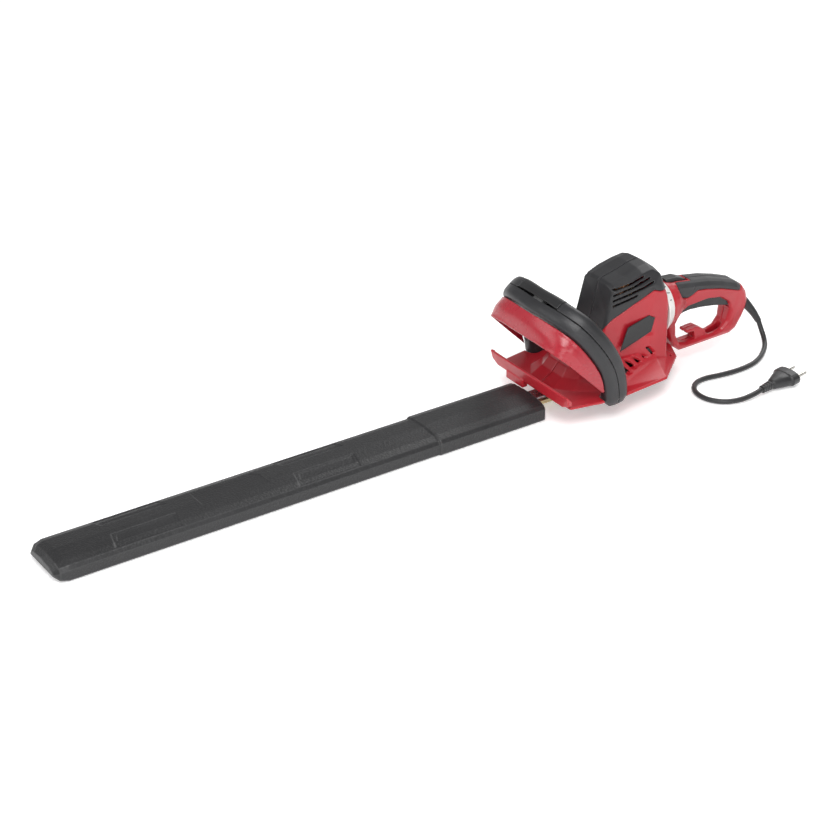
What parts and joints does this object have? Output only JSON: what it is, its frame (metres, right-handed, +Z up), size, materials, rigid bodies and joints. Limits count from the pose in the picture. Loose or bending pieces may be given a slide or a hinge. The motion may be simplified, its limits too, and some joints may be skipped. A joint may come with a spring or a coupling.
{
  "type": "electric hedge trimmer",
  "caption": "Corded hedge trimmer with swivelling D-shaped rear handle, front loop handle with guard, sheathed reciprocating blades and a lead with a contour plug.",
  "frame": {"origin": "on the flat underside of the bottom cover, under the motor shaft's axis", "axes": "+X forward to the blades' tip, +Y to the tool's left, +Z up along the motor shaft"},
  "size_m": [1.0085, 0.2345, 0.1615],
  "materials": {
    "red_shell": "moulded red shell, fine texture",
    "red_guard": "clear-edged red guard moulding",
    "black_shell": "moulded black shell",
    "black_switch": "smooth black buttons",
    "grip_rubber": "soft over-moulded grip",
    "sheath": "grained black sheath",
    "swivel_white": "white index ring",
    "blade_steel": "ground blade steel",
    "steel": "turned and pressed steel",
    "fastener": "zinc-plated fasteners",
    "gear_steel": "hobbed gear steel",
    "die_cast": "die-cast gear case",
    "copper": "enamelled copper windings",
    "laminations": "stacked motor laminations",
    "brass": "pressed brass",
    "inner_plastic": "glass-filled inner mouldings",
    "carbon": "carbon brush",
    "flex": "rubber lead and plug",
    "plug_pins": "nickel-plated pins"
  },
  "bodies": {
    "housing": {"housing_left": "red_shell", "housing_right": "red_shell", "motor_cover_left": "black_shell", "motor_cover_right": "black_shell", "badge_panel_left": "black_switch", "badge_panel_right": "black_switch", "front_lip": "red_shell", "bottom_cover": "black_shell", "gear_case": "die_cast", "gear_case_plate": "die_cast", "gear_bearing": "steel", "motor_bulkhead": "inner_plastic", "lower_motor_bearing": "steel", "upper_motor_bearing": "steel", "field_core": "laminations", "field_coil_front": "copper", "field_coil_rear": "copper", "brush_holder_left": "brass", "brush_holder_right": "brass", "carbon_brush_left": "carbon", "carbon_brush_right": "carbon", "blade_bar": "steel", "blade_bolt_1": "fastener", "blade_bolt_2": "fastener", "blade_bolt_3": "fastener", "blade_bolt_4": "fastener", "blade_nut_1": "fastener", "blade_nut_2": "fastener", "blade_nut_3": "fastener", "blade_nut_4": "fastener", "front_loop_front": "black_shell", "front_loop_rear": "black_shell", "hand_guard": "red_guard", "front_microswitch": "inner_plastic", "swivel_ring": "swivel_white", "cord": "flex", "plug_body": "flex", "plug_pin_left": "plug_pins", "plug_pin_right": "plug_pins"},
    "sheath": {"blade_guard": "sheath"},
    "upper_blade": {"blade_upper": "blade_steel"},
    "lower_blade": {"blade_lower": "blade_steel"},
    "rotor": {"motor_shaft": "steel", "armature_core": "laminations", "commutator": "copper", "cooling_fan": "inner_plastic", "motor_pinion": "gear_steel"},
    "drive": {"drive_gear": "gear_steel", "eccentric_shaft": "gear_steel"},
    "rear_handle": {"rear_handle_left": "red_shell", "rear_handle_right": "red_shell", "grip_pad_left": "grip_rubber", "grip_pad_right": "grip_rubber", "rear_microswitch": "inner_plastic", "capacitor": "inner_plastic", "cord_clamp": "steel", "strain_relief": "flex"},
    "trigger": {"rear_trigger": "black_switch"},
    "lock": {"swivel_lock": "black_switch"},
    "switch_bar": {"front_switch_bar": "black_switch"}
  },
  "joints": [
    {"name": "sheath_slide", "type": "slide", "parent": "housing", "child": "sheath", "axis": [1, 0, 0], "range_m": [0, 0.66]},
    {"name": "upper_blade_slide", "type": "slide", "parent": "housing", "child": "upper_blade", "axis": [1, 0, 0], "range_m": [-0.006, 0.006]},
    {"name": "lower_blade_slide", "type": "slide", "parent": "housing", "child": "lower_blade", "axis": [1, 0, 0], "range_m": [-0.006, 0.006]},
    {"name": "rotor_spin", "type": "hinge", "parent": "housing", "child": "rotor", "pos_m": [0, 0, 0.08], "axis": [0, 0, 1], "continuous": true},
    {"name": "drive_spin", "type": "hinge", "parent": "housing", "child": "drive", "pos_m": [0.02813, 0, 0.0285], "axis": [0, 0, 1], "continuous": true},
    {"name": "handle_swivel", "type": "hinge", "parent": "housing", "child": "rear_handle", "pos_m": [-0.05, 0, 0.089], "axis": [1, 0, 0], "range_deg": [-90, 90]},
    {"name": "trigger_pull", "type": "hinge", "parent": "rear_handle", "child": "trigger", "pos_m": [-0.166, 0, 0.076], "axis": [0, -1, 0], "range_deg": [0, 4], "stiffness_Nm_per_rad": 2, "springref_deg": -3.44},
    {"name": "lock_slide", "type": "slide", "parent": "rear_handle", "child": "lock", "axis": [-1, 0, 0], "range_m": [0, 0.003], "stiffness_N_per_m": 1500, "springref_m": -0.002},
    {"name": "switch_bar_press", "type": "slide", "parent": "housing", "child": "switch_bar", "axis": [0.788, 0, -0.6157], "range_m": [0, 0.0015], "stiffness_N_per_m": 1000, "springref_m": -0.002}
  ],
  "couplings": [
    {"joint": "lower_blade_slide", "follows": "upper_blade_slide", "ratio": -1},
    {"joint": "drive_spin", "follows": "rotor_spin", "ratio": -0.25}
  ]
}
